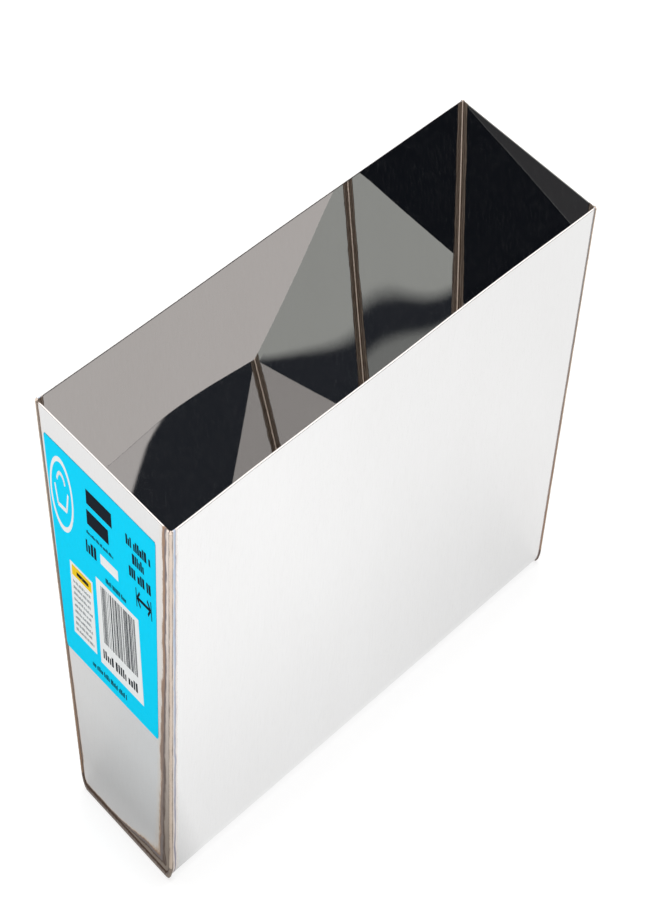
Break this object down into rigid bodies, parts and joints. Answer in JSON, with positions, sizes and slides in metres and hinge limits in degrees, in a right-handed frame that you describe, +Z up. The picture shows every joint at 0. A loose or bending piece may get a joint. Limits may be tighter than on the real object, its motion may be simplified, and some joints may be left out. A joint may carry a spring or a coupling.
{
  "type": "mud pan",
  "caption": "Tapered polished stainless steel trough with welded flat ends and an adhesive label, held in one hand to carry drywall joint compound.",
  "frame": {"origin": "centre of the flat underside, on the plane the pan rests on", "axes": "+Z up towards the open rim, +X along the pan to its plain end, -X to its labelled end, -Y towards the front wall"},
  "size_m": [0.3058, 0.0938, 0.08],
  "materials": {
    "polished_stainless": "mirror-polished stainless sheet with fine vertical brushing",
    "weld_bead": "rippled TIG bead with straw, brown and blue heat tint",
    "label_film": "smooth printed vinyl, cyan ground"
  },
  "bodies": {
    "root": {"trough_sheet": "polished_stainless", "label_end_plate": "polished_stainless", "plain_end_plate": "polished_stainless", "label_end_front_weld": "weld_bead", "label_end_base_weld": "weld_bead", "label_end_back_weld": "weld_bead", "plain_end_front_weld": "weld_bead", "plain_end_base_weld": "weld_bead", "plain_end_back_weld": "weld_bead", "label_film": "label_film"}
  },
  "joints": []
}
